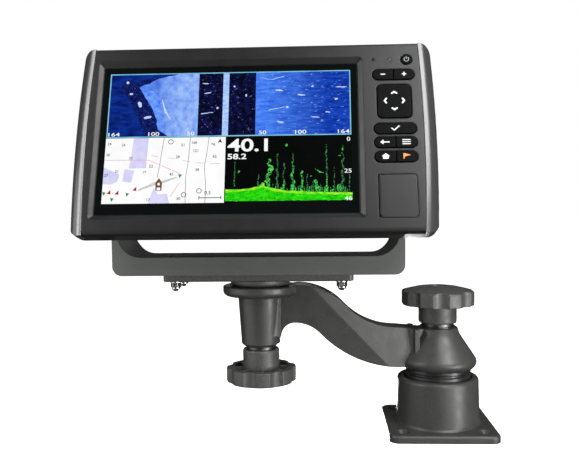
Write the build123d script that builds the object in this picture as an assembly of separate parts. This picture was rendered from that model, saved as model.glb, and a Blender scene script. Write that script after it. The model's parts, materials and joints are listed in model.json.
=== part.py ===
from build123d import *
import math
import os

os.makedirs("parts", exist_ok=True)

# ---------------------------------------------------------------- driving dimensions (mm)
# Origin: centre of the base plate's underside. +X towards the base's right, +Y away from
# the helmsman, +Z up. The arm reaches to -X and the screen faces -Y.
GAP = 0.1                       # running gap between parts that slide on each other
FIT = 0.05                      # radial clearance of a shaft in its bore

ARM_REACH = 153.7               # pedestal axis to head axis
ARM_SWING = 3.9                 # resting swing of the arm about the pedestal, degrees
TILT_BACK = 18.25               # resting tilt of the screen, degrees

PLATE_SIDE, PLATE_T, PLATE_R = 91.0, 6.3, 8.0
PLATE_HOLE_SPACING, PLATE_HOLE_R, PLATE_SINK_R = 68.0, 3.4, 6.2
PEDESTAL_R_LOW, PEDESTAL_R_TOP, PEDESTAL_TOP = 35.8, 34.8, 46.0
PEDESTAL_CAVITY_R, PEDESTAL_CAVITY_TOP, RIB_FOOT = 29.0, 36.0, 24.0
BEARING_R, BEARING_SEAT_Z, BEARING_TOP = 28.4, 42.0, 54.0
STUD_R, STUD_HEAD_R, STUD_HEAD_Z0, STUD_HEAD_Z1 = 6.0, 10.4, 20.5, 28.0

CONE_BOTTOM, CONE_WIDE_Z, CONE_NECK_Z, CONE_TOP = BEARING_TOP + GAP, 58.6, 83.0, 88.5
CONE_FOOT_R, CONE_WIDE_R, CONE_NECK_R, CONE_TOP_R = 30.2, 34.85, 18.7, 17.0
CONE_BORE_R, CONE_SLEEVE_R, CONE_SLEEVE_TOP = 8.0, 12.5, 73.0
HUB_BOTTOM, HUB_TOP, FLANGE_BOTTOM = 75.2, 127.0, 118.5
HUB_R_LOW, HUB_R_TOP, FLANGE_R = 16.7, 19.2, 32.0
SPINDLE_R = 11.0
UPPER_START, UPPER_END = (-122.0, 127.8), (-36.0, 90.0)   # level ends of the web's upper edge
LOWER_START, LOWER_END = (-124.5, 95.3), (-34.0, 56.1)    # and of its lower edge
UPPER_TURN_X, LOWER_TURN_X = -81.0, -103.0                # where each S-curve changes over
THROAT_R = 11.6                 # inside corner between the web and the head hub
CREASE_TOP, CREASE_FOOT = (-107.5, 0, 123.3), (-45.3, 0, 57.8)
CREASE_HALF_T = 13.5            # half thickness of the arm along its diagonal crease
FACET_ANGLE = 5.0               # slope of each facet away from the crease, degrees
FLARE_R, FLARE_HALF_T, FLARE_SPREAD = 9.0, 11.3, 6.0      # web flaring out to the cone
HUB_BLEND_R = 10.0              # inside radius between the head hub and the web's faces

KNOB_LOBES = 8
UPPER_KNOB_R, UPPER_KNOB_VALLEY_R, UPPER_KNOB_STEM_R = 31.2, 28.0, 16.4
LOWER_KNOB_R, LOWER_KNOB_VALLEY_R, LOWER_KNOB_STEM_R = 30.0, 26.9, 15.8
KNOB_STEM_H, KNOB_DISC_H, KNOB_DOME_H = 15.6, 12.0, 4.8
KNOB_BORE_R, KNOB_BORE_H = 9.0, 19.0
UPPER_KNOB_PHASE, LOWER_KNOB_PHASE = 19.7, 8.0

SPINDLE_FLANGE_R = 25.5
BRACKET_PLATE_W, BRACKET_PLATE_D = 158.75, 50.8
BRACKET_PLATE_Z0, BRACKET_PLATE_Z1 = 132.5, 137.8
BOLT_SPACING_X, BOLT_SPACING_Y, BOLT_R = 139.7, 34.0, 2.5

BAIL_W, BAIL_D, BAIL_T = 243.0, 51.6, 4.3
BAIL_Z0, BAIL_Z1 = BRACKET_PLATE_Z1, 153.2
BAIL_END_R = 17.0
PIVOT_Z = 238.65                # height of the tilt axis
PIVOT_BEHIND_FRONT = BAIL_END_R # tilt axis behind the bail's front edge

CASE_TOP, CASE_BOTTOM, CASE_R = 79.1, -80.5, 10.0
CASE_HALF_W, BEZEL_HALF_W = 145.4, 134.1   # to the outer side and to the trim joint, at mid height
CASE_BOW = 2.4                  # how far the case's sides bulge between their ends
FACE_TO_PIVOT = 39.1            # front face to the tilt axis
BEZEL_DEPTH, RIM_DEPTH, CASE_DEPTH = 11.0, 20.0, 58.0
BEZEL_TOP_R, BEZEL_BOTTOM_R, TRIM_FRONT_R, TRIM_SIDE_R = 2.2, 4.0, 12.0, 9.2
FRONT_WALL, SIDE_WALL, BACK_WALL = 3.0, 2.6, 3.0
BOX_HALF_W, BOX_BOTTOM, BOX_TOP = 111.0, -66.0, 65.0

GLASS_W, GLASS_H, GLASS_U, GLASS_V = 206.0, 125.3, -20.5, -0.65
BEVEL_LEFT, BEVEL_RIGHT, BEVEL_BOTTOM, BEVEL_TOP = -127.8, 87.35, -68.5, 67.5
LCD_W, LCD_H, LCD_U, LCD_V = 197.5, 112.4, -21.0, 1.9

KEYS_U = 111.7                  # centre line of the key column
PILL_W, PILL_H = 33.0, 9.0
RANGE_V, SELECT_V, BACK_V, HOME_V = 50.9, 4.2, -7.4, -19.3
PAD_W, PAD_H, PAD_V, PAD_R = 26.7, 28.8, 27.7, 4.0
POWER_U, POWER_V, POWER_R = 122.5, 64.0, 4.2
LED_U, LED_V, LED_R = 108.9, 64.3, 1.6
SENSOR_U, SENSOR_V, SENSOR_R = 96.1, 64.5, 1.3
KEY_PROUD, KEY_GAP, KEY_SPLIT, KEY_LIP = 0.9, 0.55, 0.5, 1.1
KEY_LIP_DEPTH, PAD_LIP_DEPTH = FRONT_WALL + 0.4, FRONT_WALL + 0.7
KEY_LIP_T, PAD_LIP_T = 0.9, 0.8
GIMBAL_FRONT, GIMBAL_BACK = 4.75, 5.3
MAT_FRONT, MAT_T, KEYBOARD_T = 5.6, 1.2, 1.4

DOOR_W, DOOR_H, DOOR_V, DOOR_T, DOOR_R = 29.7, 34.6, -51.1, 2.6, 3.0
DOOR_GAP, DOOR_PIN_R, HINGE_CORNER_R = 0.3, 0.6, 2.0

BOARD_FRONT, BOARD_W, BOARD_H, BOARD_T = 40.0, 180.0, 112.0, 1.6
SOCKETS = {"power_socket": (-42.0, 4), "sonar_socket": (0.0, 8), "network_socket": (42.0, 5)}
SOCKET_V, SOCKET_R, SOCKET_BORE_R, SOCKET_END = -34.0, 11.0, 8.4, 71.0
TILT_KNOB_R, TILT_KNOB_VALLEY_R, TILT_STUD_R = 17.4, 15.6, 3.9

swing = math.radians(ARM_SWING)
HEAD_X, HEAD_Y = -ARM_REACH * math.cos(swing), -ARM_REACH * math.sin(swing)
BAIL_FRONT_Y = HEAD_Y - BAIL_D / 2
PIVOT_Y = BAIL_FRONT_Y + PIVOT_BEHIND_FRONT

AT_HEAD = Pos(HEAD_X, HEAD_Y, 0)
AT_ARM = Rot(0, 0, ARM_SWING)
AT_PIVOT = Pos(HEAD_X, PIVOT_Y, PIVOT_Z) * Rot(-TILT_BACK, 0, 0)
# Case frame: sketches lie in the front face (u right, v up) and depth runs backwards from it.
AT_CASE = AT_PIVOT * Pos(0, -FACE_TO_PIVOT, 0)
CASE_MIDDLE = (CASE_TOP + CASE_BOTTOM) / 2
# The right side's bow is an arc about this point, level with the case's middle.
BOW_CENTRE_U = CASE_HALF_W - ((CASE_TOP - CASE_MIDDLE) ** 2 + CASE_BOW ** 2) / (2 * CASE_BOW)
FACE = Plane(origin=(0, 0, 0), x_dir=(1, 0, 0), z_dir=(0, -1, 0))

nodes = {}


# ---------------------------------------------------------------- shared shapes
def outline(*points):
    """Closed flat outline; a point's third number rounds that corner."""
    shape = make_face(Polyline(*[point[:2] for point in points], close=True))
    for x, y, radius in [point for point in points if len(point) == 3]:
        corner = shape.vertices().sort_by_distance((x, y, 0))[0]
        shape = fillet(corner, radius)
    return shape


def turned(*points):
    """Solid of revolution about Z from an outline of (radius, height) points."""
    return revolve(Plane.XZ * outline(*points), Axis.Z)


def ring(r_out, r_in, z0, z1):
    """Flat ring about Z."""
    return Pos(0, 0, z0) * extrude(Circle(r_out) - Circle(r_in), z1 - z0)


def rod(radius, z0, z1):
    """Plain round bar about Z."""
    return Pos(0, 0, z0) * extrude(Circle(radius), z1 - z0)


def slab(sketch, depth0, depth1):
    """Case-frame slab of a face sketch between two depths behind the front face."""
    return FACE.offset(-depth1) * extrude(sketch, depth1 - depth0)


def box_sketch(u0, u1, v0, v1, radius=0.0):
    """Rectangle in the face plane, with rounded corners if a radius is given."""
    width, height = u1 - u0, v1 - v0
    sketch = RectangleRounded(width, height, radius) if radius else Rectangle(width, height)
    return Pos((u0 + u1) / 2, (v0 + v1) / 2) * sketch


def bowed_sketch(half_w, v0, v1, radius=0.0):
    """Face-plane outline with straight ends and bowed sides, this wide at the case's middle."""
    side = Circle(half_w - BOW_CENTRE_U)
    sketch = box_sketch(-2 * half_w, 2 * half_w, v0, v1)
    for centre in (BOW_CENTRE_U, -BOW_CENTRE_U):
        sketch &= Pos(centre, CASE_MIDDLE) * side
    return fillet(sketch.vertices(), radius) if radius else sketch


def bowed_bar(section, half_length):
    """Solid of a (u, depth) section carried along the case's bowed right side."""
    axis = Axis((BOW_CENTRE_U, 0, 0), (0, 1, 0))
    half_angle = math.degrees(half_length / (CASE_HALF_W - BOW_CENTRE_U))
    bar = revolve(section, axis, 2 * half_angle).rotate(axis, -half_angle)
    return Pos(0, 0, CASE_MIDDLE) * bar


def on_both_sides(solid):
    """A right-hand solid together with its mirror image."""
    return solid + mirror(solid, Plane.YZ)


def group(solids, at=Location()):
    """Several loose solids, each moved to its place, as one node."""
    return Compound(children=[at * solid for solid in solids])


def corners(spacing_x, spacing_y):
    """The four corners of a rectangle about the origin."""
    return [(sx * spacing_x / 2, sy * spacing_y / 2) for sx in (-1, 1) for sy in (-1, 1)]


def lobed_knob(r_out, r_valley, stem_r, stem_h, disc_h, dome_h, bore_r, bore_h, pocketed):
    """Star knob standing on its stem: scalloped disc, domed top, blind hole for an insert."""
    notch_half = r_out * math.sin(math.radians(12.5))
    depth = r_out - r_valley
    notch_r = (notch_half ** 2 + depth ** 2) / (2 * depth)
    star = Circle(r_out)
    for i in range(KNOB_LOBES):
        star -= Rot(0, 0, (i + 0.5) * 360 / KNOB_LOBES) * Pos(r_valley + notch_r, 0) * Circle(notch_r)
    star = fillet(star.vertices(), 0.05 * r_out)
    disc_top = stem_h + disc_h
    crown = disc_top + dome_h
    envelope = turned((0, stem_h), (r_out, stem_h, 0.03 * r_out), (r_out, disc_top, 0.06 * r_out),
                      (0.62 * r_out, disc_top + 0.62 * dome_h, 0.5 * r_out),
                      (0.2 * r_out, crown, 0.1 * r_out), (0, crown))
    head = envelope & (Pos(0, 0, stem_h) * extrude(star, disc_h + dome_h))
    if pocketed:
        wall = 0.11 * r_out
        pocket_top = disc_top - wall
        pocket = ring(r_valley - wall, stem_r, stem_h, pocket_top)
        for i in range(KNOB_LOBES):
            spoke = Rot(0, 0, i * 360 / KNOB_LOBES) * Pos(r_out / 2, 0, (stem_h + pocket_top) / 2)
            pocket -= spoke * Box(r_out, 0.09 * r_out, pocket_top - stem_h)
        head -= pocket
    stem = turned((0, 0), (stem_r - 0.6, 0), (stem_r, 1.2), (stem_r, disc_top), (0, disc_top))
    dish = turned((0, crown - 0.07 * r_out), (0.2 * r_out, crown - 0.07 * r_out, 0.04 * r_out),
                  (0.27 * r_out, crown + 1), (0, crown + 1))
    return head + stem - rod(bore_r, -1, bore_h) - dish


# ---------------------------------------------------------------- pedestal (fixed to the boat)
def base_housing():
    plate = extrude(RectangleRounded(PLATE_SIDE, PLATE_SIDE, PLATE_R), PLATE_T)
    plate = fillet(plate.edges().group_by(Axis.Z)[-1], 2.2)
    foot = PLATE_T - 0.5
    column = turned((0, foot), (PEDESTAL_R_LOW + 1.6, foot), (PEDESTAL_R_LOW, PLATE_T + 1.7),
                    (PEDESTAL_R_TOP, PEDESTAL_TOP, 3.0), (BEARING_R + 1.0, PEDESTAL_TOP, 0.8),
                    (BEARING_R + 0.2, BEARING_SEAT_Z), (0, BEARING_SEAT_Z))
    body = plate + column
    body -= rod(PEDESTAL_CAVITY_R, -1, PEDESTAL_CAVITY_TOP)
    body += ring(2 * STUD_R, STUD_R + FIT, STUD_HEAD_Z1, PEDESTAL_CAVITY_TOP)
    rib_middle_z = (RIB_FOOT + PEDESTAL_CAVITY_TOP) / 2
    for i in range(4):
        rib = Rot(0, 0, 45 + 90 * i) * Pos(1.5 * STUD_R + PEDESTAL_CAVITY_R / 2, 0, rib_middle_z)
        body += rib * Box(PEDESTAL_CAVITY_R - STUD_R, 3.0, PEDESTAL_CAVITY_TOP - RIB_FOOT)
    body -= rod(STUD_R + FIT, STUD_HEAD_Z0, PEDESTAL_TOP + 1)
    for x, y in corners(PLATE_HOLE_SPACING, PLATE_HOLE_SPACING):
        sink_depth = PLATE_SINK_R - PLATE_HOLE_R
        body -= Pos(x, y, 0) * turned((0, -1), (PLATE_HOLE_R, -1), (PLATE_HOLE_R, PLATE_T - sink_depth),
                                      (PLATE_SINK_R, PLATE_T), (PLATE_SINK_R, PLATE_T + 1),
                                      (0, PLATE_T + 1))
    return body


nodes["base_housing"] = base_housing()
nodes["base_bearing_ring"] = turned((2 * STUD_R, BEARING_SEAT_Z), (BEARING_R, BEARING_SEAT_Z),
                                    (BEARING_R, 48.4), (BEARING_R - 1.4, 49.4),
                                    (BEARING_R - 1.4, 50.4), (BEARING_R, 51.4),
                                    (BEARING_R, BEARING_TOP, 0.8), (2 * STUD_R, BEARING_TOP))
STUD_HEAD = extrude(RegularPolygon(STUD_HEAD_R, 6), STUD_HEAD_Z1 - STUD_HEAD_Z0)
UPPER_WASHER_Z = CONE_TOP + 1.0 + GAP
UPPER_KNOB_Z = UPPER_WASHER_Z + 2.8 + GAP
nodes["base_stud"] = Pos(0, 0, STUD_HEAD_Z0) * STUD_HEAD + rod(STUD_R, STUD_HEAD_Z1, UPPER_KNOB_Z + 14.0)


# ---------------------------------------------------------------- swing arm
def pedestal_cone():
    return turned((0, CONE_BOTTOM), (CONE_FOOT_R, CONE_BOTTOM, 2.0), (CONE_WIDE_R, CONE_WIDE_Z, 6.0),
                  (CONE_NECK_R, CONE_NECK_Z, 14.0), (CONE_TOP_R, CONE_TOP, 1.2), (0, CONE_TOP))


def head_hub():
    return turned((0, HUB_BOTTOM), (HUB_R_LOW - 1.7, HUB_BOTTOM), (HUB_R_LOW, HUB_BOTTOM + 1.8),
                  (HUB_R_TOP, FLANGE_BOTTOM, 2.0), (FLANGE_R, FLANGE_BOTTOM, 4.4),
                  (FLANGE_R, HUB_TOP, 1.0), (0, HUB_TOP))


def s_curve(start, end, turn_x):
    """Two tangent arcs, level at both ends, that change over at turn_x."""
    bend = 2 * math.atan2(start[1] - end[1], end[0] - start[0])
    first = JernArc(start, (1, 0), (turn_x - start[0]) / math.sin(bend), -math.degrees(bend))
    last = JernArc(first @ 1, first % 1, (end[0] - turn_x) / math.sin(bend), math.degrees(bend))
    return first, last


def arm_web():
    """S-shaped web: its upper and lower edges are S-curves in the XZ plane."""
    hub_x = -ARM_REACH
    throat = LOWER_START[0] - THROAT_R, LOWER_START[1] - THROAT_R
    throat_arc = JernArc(throat, (0, 1), THROAT_R, -90)
    upper = s_curve(UPPER_START, UPPER_END, UPPER_TURN_X)
    lower = s_curve(LOWER_START, LOWER_END, LOWER_TURN_X)
    hub_side = Polyline(throat, (hub_x, throat[1]), (hub_x, HUB_TOP), (hub_x + FLANGE_R - 4.5, HUB_TOP),
                        UPPER_START)
    inside_cone = CONE_TOP_R / 2
    cone_side = Polyline(UPPER_END, (-inside_cone, CONE_TOP - 1.2), (-inside_cone, LOWER_END[1] + 3.0),
                         (-CONE_FOOT_R + 5.0, LOWER_END[1]), LOWER_END)
    profile = make_face([*upper, cone_side, *lower, throat_arc, hub_side])
    half = 22.0
    prism = Plane.XZ.offset(-half) * extrude(profile, 2 * half)

    crease_top, crease_foot = Vector(CREASE_TOP), Vector(CREASE_FOOT)
    along = (crease_foot - crease_top).normalized()
    across = Plane(origin=(crease_top + crease_foot) * 0.5, x_dir=(0, 1, 0), z_dir=along)
    reach = 90.0
    edge_half_t = CREASE_HALF_T - reach * math.tan(math.radians(FACET_ANGLE))
    roof = outline((-CREASE_HALF_T, 0), (-edge_half_t, reach), (edge_half_t, reach),
                   (CREASE_HALF_T, 0), (edge_half_t, -reach), (-edge_half_t, -reach))
    web = prism & (across * Pos(0, 0, -ARM_REACH) * extrude(roof, 2 * ARM_REACH))

    x0, back, end = -23.0, -19.0, -22.5 - FLARE_R
    wide = FLARE_HALF_T + FLARE_SPREAD
    flare = outline((back, -wide), (x0, -wide), (x0, -FLARE_HALF_T, FLARE_R * 0.6),
                    (end, -FLARE_HALF_T + 1), (end, FLARE_HALF_T - 1),
                    (x0, FLARE_HALF_T, FLARE_R * 0.6), (x0, wide), (back, wide))
    for sketch in (flare, Pos(hub_x, 0) * hub_blend()):
        web += prism & (Pos(0, 0, CONE_BOTTOM) * extrude(sketch, HUB_TOP - CONE_BOTTOM + 1))
    return web


def hub_blend():
    """Plan of the concave blends between the head hub, taken as round, and the web's two faces."""
    hub_r = HUB_R_LOW + 0.5
    centre_y = FLARE_HALF_T + HUB_BLEND_R
    centre_x = math.sqrt((hub_r + HUB_BLEND_R) ** 2 - centre_y ** 2)
    touch_x, touch_y = (hub_r / (hub_r + HUB_BLEND_R) * c for c in (centre_x, centre_y))
    wedge = outline((0, 0), (touch_x, -touch_y), (centre_x, -touch_y),
                    (centre_x, touch_y), (touch_x, touch_y))
    for side in (-1, 1):
        wedge -= Pos(centre_x, side * centre_y) * Circle(HUB_BLEND_R)
    return wedge


def swing_arm():
    hub = Pos(-ARM_REACH, 0, 0) * head_hub()
    body = arm_web() + pedestal_cone() + hub
    cavity_top = CONE_SLEEVE_TOP - 1
    body -= turned((0, CONE_BOTTOM - 1), (24.0, CONE_BOTTOM - 1), (22.0, 64.0),
                   (CONE_SLEEVE_R - 0.5, cavity_top), (0, cavity_top))
    body += ring(CONE_SLEEVE_R, CONE_BORE_R, CONE_BOTTOM, CONE_SLEEVE_TOP)
    body -= rod(CONE_BORE_R, CONE_BOTTOM - 1, CONE_TOP + 1)
    bore = rod(SPINDLE_R + 1.6, HUB_BOTTOM + 1.5, HUB_TOP + 1) + rod(STUD_R + 0.6, HUB_BOTTOM - 1, HUB_TOP)
    return body - Pos(-ARM_REACH, 0, 0) * bore


nodes["swing_arm"] = AT_ARM * swing_arm()
nodes["cone_bushings"] = group(
    (ring(CONE_BORE_R, STUD_R + FIT, z0, z0 + 12.0) for z0 in (CONE_BOTTOM, CONE_TOP - 12.0)), AT_ARM)
nodes["hub_bushings"] = group(
    (ring(SPINDLE_R + 1.6, SPINDLE_R + FIT, z0, z0 + 14.0) for z0 in (HUB_BOTTOM + 2.0, HUB_TOP - 14.0)),
    AT_ARM * Pos(-ARM_REACH, 0, 0))
nodes["cone_washer"] = AT_ARM * ring(15.2, STUD_R + 0.3, CONE_TOP, CONE_TOP + 1.0)
nodes["hub_washer"] = AT_ARM * Pos(-ARM_REACH, 0, 0) * ring(13.2, STUD_R + 0.3, HUB_BOTTOM - 1.0, HUB_BOTTOM)


# ---------------------------------------------------------------- clamping knobs on the arm
def arm_knob(r_out, r_valley, stem_r, phase):
    body = lobed_knob(r_out, r_valley, stem_r, KNOB_STEM_H, KNOB_DISC_H, KNOB_DOME_H,
                      bore_r=KNOB_BORE_R, bore_h=KNOB_BORE_H, pocketed=True)
    return Rot(0, 0, phase) * body


KNOB_INSERT = ring(KNOB_BORE_R, STUD_R + FIT, 0.5, KNOB_BORE_H)
nodes["upper_knob_washer"] = ring(13.8, STUD_R + FIT, UPPER_WASHER_Z, UPPER_WASHER_Z + 2.8)
nodes["upper_knob"] = Pos(0, 0, UPPER_KNOB_Z) * arm_knob(
    UPPER_KNOB_R, UPPER_KNOB_VALLEY_R, UPPER_KNOB_STEM_R, UPPER_KNOB_PHASE)
nodes["upper_knob_insert"] = Pos(0, 0, UPPER_KNOB_Z) * KNOB_INSERT

LOWER_WASHER_Z = HUB_BOTTOM - 1.0 - GAP - 2.2
LOWER_KNOB_Z = LOWER_WASHER_Z - GAP
UPSIDE_DOWN = AT_HEAD * Pos(0, 0, LOWER_KNOB_Z) * Rot(180, 0, 0)
nodes["lower_knob_washer"] = AT_HEAD * ring(12.4, STUD_R + FIT, LOWER_WASHER_Z, LOWER_WASHER_Z + 2.2)
nodes["lower_knob"] = UPSIDE_DOWN * arm_knob(
    LOWER_KNOB_R, LOWER_KNOB_VALLEY_R, LOWER_KNOB_STEM_R, -LOWER_KNOB_PHASE)
nodes["lower_knob_insert"] = UPSIDE_DOWN * KNOB_INSERT


# ---------------------------------------------------------------- head: spindle, plate and bail
def head_spindle():
    flange = turned((0, HUB_TOP + GAP), (SPINDLE_FLANGE_R, HUB_TOP + GAP, 3.4),
                    (SPINDLE_FLANGE_R, BRACKET_PLATE_Z0), (0, BRACKET_PLATE_Z0))
    shaft = turned((0, HUB_BOTTOM + 1.7), (SPINDLE_R - 1.0, HUB_BOTTOM + 1.7),
                   (SPINDLE_R, HUB_BOTTOM + 2.7), (SPINDLE_R, HUB_TOP + 1), (0, HUB_TOP + 1))
    return flange + shaft + rod(STUD_R, LOWER_KNOB_Z - 15.0, HUB_BOTTOM + 3.0)


def mounting_plate():
    plate = Pos(0, 0, BRACKET_PLATE_Z0) * extrude(
        RectangleRounded(BRACKET_PLATE_W, BRACKET_PLATE_D, 4.0), BRACKET_PLATE_Z1 - BRACKET_PLATE_Z0)
    plate = fillet(plate.edges().group_by(Axis.Z)[0], 1.2)
    for x, y in corners(BOLT_SPACING_X, BOLT_SPACING_Y):
        plate -= Pos(x, y, 0) * rod(BOLT_R + 0.1, BRACKET_PLATE_Z0 - 1, BRACKET_PLATE_Z1 + 1)
    return plate


HEAD_RECESS_R, HEAD_RECESS_DEPTH = 5.6, 4.2


def bail_bracket():
    """Cast U-bracket: thick lower bar, thin arms that thicken towards the rear at the foot."""
    half_w, inner_front, inner_back = BAIL_W / 2, BAIL_W / 2 - BAIL_T, BAIL_W / 2 - 9.8
    top = PIVOT_Z + BAIL_END_R
    gusset_top = BAIL_Z1 + 52.0
    outer = outline((-half_w, BAIL_Z0, 8.0), (half_w, BAIL_Z0, 8.0), (half_w, top), (-half_w, top))
    back_y, front_y = BAIL_FRONT_Y + BAIL_D, BAIL_FRONT_Y

    def opening(inner, radius):
        return outline((-inner_front, top + 1), (-inner_front, gusset_top), (-inner, BAIL_Z1, radius),
                       (inner, BAIL_Z1, radius), (inner_front, gusset_top), (inner_front, top + 1))

    body = Plane.XZ.offset(-back_y) * extrude(outer, BAIL_D)
    body -= loft([Plane.XZ.offset(-front_y + 0.01) * opening(inner_front - 0.02, 20.0),
                  Plane.XZ.offset(-back_y - 0.01) * opening(inner_back, 17.0)], ruled=True)
    narrow_y = PIVOT_Y + BAIL_END_R
    side = outline((front_y, BAIL_Z0), (back_y, BAIL_Z0), (back_y, BAIL_Z1 + 8.0, 10.0),
                   (narrow_y, BAIL_Z1 + 34.0, 25.0), (narrow_y, PIVOT_Z), (front_y, PIVOT_Z))
    side += Pos(PIVOT_Y, PIVOT_Z) * Circle(BAIL_END_R)
    body &= Plane.YZ.offset(-half_w - 1) * extrude(side, BAIL_W + 2)
    body -= Pos(0, PIVOT_Y, PIVOT_Z) * Rot(0, 90, 0) * rod(TILT_STUD_R + 0.3, -half_w - 1, half_w + 1)
    body -= Pos(0, HEAD_Y, BAIL_Z0 + 4.5) * Box(104.0, 38.0, 9.0)
    for x, y in corners(BOLT_SPACING_X, BOLT_SPACING_Y):
        hole = rod(BOLT_R + 0.1, BAIL_Z0 - 1, BAIL_Z1 + 1)
        hole += rod(HEAD_RECESS_R, BAIL_Z1 - HEAD_RECESS_DEPTH, BAIL_Z1 + 1)
        body -= Pos(x, HEAD_Y + y, 0) * hole
    return Pos(HEAD_X, 0, 0) * body


def bail_bolt():
    seat = BAIL_Z1 - HEAD_RECESS_DEPTH
    head = turned((0, seat), (4.7, seat), (4.7, seat + 3.0, 1.4), (0, seat + 3.0))
    head -= Pos(0, 0, seat + 1.2) * extrude(RegularPolygon(2.2, 6), 3.0)
    return head + rod(BOLT_R, BRACKET_PLATE_Z0 - 5.4, seat)


def bail_nut():
    top = BRACKET_PLATE_Z0 - 1.0
    hexagon = Pos(0, 0, top - 4.0) * extrude(RegularPolygon(4.5, 6), 4.0)
    cap = turned((0, top - 7.4), (3.6, top - 7.4, 3.0), (3.6, top - 4.0), (0, top - 4.0))
    return hexagon + cap - rod(BOLT_R, top - 5.0, top + 1)


def at_bolts(solid):
    return group((Pos(x, y, 0) * solid for x, y in corners(BOLT_SPACING_X, BOLT_SPACING_Y)), AT_HEAD)


nodes["head_spindle"] = AT_HEAD * head_spindle()
nodes["mounting_plate"] = AT_HEAD * mounting_plate()
nodes["bail_bracket"] = bail_bracket()
nodes["bail_bolts"] = at_bolts(bail_bolt())
nodes["bail_nuts"] = at_bolts(bail_nut())
nodes["bail_washers"] = at_bolts(ring(4.9, BOLT_R + 0.1, BRACKET_PLATE_Z0 - 1.0, BRACKET_PLATE_Z0))


# ---------------------------------------------------------------- display case
SCREW_SPOTS = [(u, v) for u in (-124.0, -20.0, 89.2) for v in (-71.8, 71.2)]
PAD_SKETCH = Pos(KEYS_U, PAD_V) * RectangleRounded(PAD_W, PAD_H, PAD_R)
POWER_SKETCH = Pos(POWER_U, POWER_V) * Circle(POWER_R)
DOOR_LEFT, DOOR_RIGHT = KEYS_U + 0.6 - DOOR_W / 2, KEYS_U + 0.6 + DOOR_W / 2
DOOR_BOTTOM, DOOR_TOP = DOOR_V - DOOR_H / 2, DOOR_V + DOOR_H / 2
DOOR_AXIS_DEPTH = 0.1 + DOOR_T / 2
BAY_BACK = 9.3
TRIM_END = 9.7                  # solid length at each end of a side trim


def pill(v, grow=0.0):
    return Pos(KEYS_U, v) * SlotOverall(PILL_W + 2 * grow, PILL_H + 2 * grow)


def half_of(sketch, side):
    """Left (-1) or right (+1) half of a pill, with half the dividing gap taken off."""
    cover = Pos(KEYS_U + side * (PILL_W + KEY_SPLIT) / 2, 0) * Rectangle(PILL_W, 4 * CASE_TOP)
    return sketch & cover


def front_bezel():
    body = slab(bowed_sketch(BEZEL_HALF_W, CASE_BOTTOM, CASE_TOP), 0, BEZEL_DEPTH)
    for end, radius in ((0, BEZEL_BOTTOM_R), (-1, BEZEL_TOP_R)):
        front = body.faces().filter_by(Axis.Y).sort_by(Axis.Y)[0]
        body = fillet(front.edges().filter_by(Axis.X).sort_by(Axis.Z)[end], radius)
    hollow = bowed_sketch(BEZEL_HALF_W - SIDE_WALL, CASE_BOTTOM + SIDE_WALL, CASE_TOP - SIDE_WALL)
    body -= slab(hollow, FRONT_WALL, BEZEL_DEPTH + 1)
    for u, v in SCREW_SPOTS:
        body += slab(Pos(u, v) * Circle(3.6), FRONT_WALL - 0.5, BEZEL_DEPTH)
    frame = box_sketch(DOOR_LEFT - 2, DOOR_RIGHT + 1.4, DOOR_BOTTOM - 1.8, DOOR_TOP + 1.8)
    body += slab(frame, FRONT_WALL - 0.5, 5.4)

    glass = box_sketch(GLASS_U - GLASS_W / 2, GLASS_U + GLASS_W / 2,
                       GLASS_V - GLASS_H / 2, GLASS_V + GLASS_H / 2, 0.8)
    mouth = box_sketch(BEVEL_LEFT, BEVEL_RIGHT, BEVEL_BOTTOM, BEVEL_TOP, 3.0)
    body -= loft([FACE.offset(0.01) * mouth, FACE.offset(-FRONT_WALL - 0.01) * glass], ruled=True)
    for u, v in SCREW_SPOTS:
        body -= slab(Pos(u, v) * Circle(1.5), FRONT_WALL, BEZEL_DEPTH + 1)

    through = -1, FRONT_WALL + 1
    for v in (RANGE_V, SELECT_V, BACK_V, HOME_V):
        body -= slab(pill(v, KEY_GAP), *through)
    body -= slab(offset(PAD_SKETCH, KEY_GAP + 0.05), *through)
    body -= slab(offset(POWER_SKETCH, KEY_GAP), *through)
    body -= slab(Pos(LED_U, LED_V) * Circle(LED_R), *through)
    body -= slab(Pos(SENSOR_U, SENSOR_V) * Circle(SENSOR_R), *through)

    door_hole = box_sketch(DOOR_LEFT - DOOR_GAP, DOOR_RIGHT + DOOR_GAP,
                           DOOR_BOTTOM - DOOR_GAP, DOOR_TOP + DOOR_GAP, DOOR_R + DOOR_GAP)
    hinge_side = box_sketch(DOOR_LEFT - DOOR_GAP, DOOR_LEFT + 5, DOOR_BOTTOM - DOOR_GAP,
                            DOOR_TOP + DOOR_GAP, HINGE_CORNER_R - 0.8)
    body -= slab(door_hole + hinge_side, -1, DOOR_T + 0.3)
    body -= slab(box_sketch(DOOR_LEFT + 3.2, DOOR_RIGHT - 2.2, DOOR_BOTTOM + 2.4, DOOR_TOP - 2.4), 0, 6)
    return body - door_pin()


def door_pin():
    reach = 1.6
    pin = rod(DOOR_PIN_R, DOOR_BOTTOM - reach, DOOR_TOP + reach)
    return Pos(DOOR_LEFT + DOOR_T / 2, DOOR_AXIS_DEPTH, 0) * pin


def card_door():
    axis_u = DOOR_LEFT + DOOR_T / 2
    plate = slab(box_sketch(axis_u, DOOR_RIGHT, DOOR_BOTTOM, DOOR_TOP), 0.1, 0.1 + DOOR_T)
    for end, radius in ((0, HINGE_CORNER_R), (-1, DOOR_R)):
        side = plate.faces().filter_by(Axis.X).sort_by(Axis.X)[end]
        plate = fillet(side.edges().filter_by(Axis.Y), radius)
    barrel = rod(DOOR_T / 2, DOOR_BOTTOM + HINGE_CORNER_R, DOOR_TOP - HINGE_CORNER_R)
    bore = rod(DOOR_PIN_R + FIT, DOOR_BOTTOM - 1, DOOR_TOP + 1)
    at_axis = Pos(axis_u, DOOR_AXIS_DEPTH, 0)
    return plate + at_axis * barrel - at_axis * bore


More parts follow.
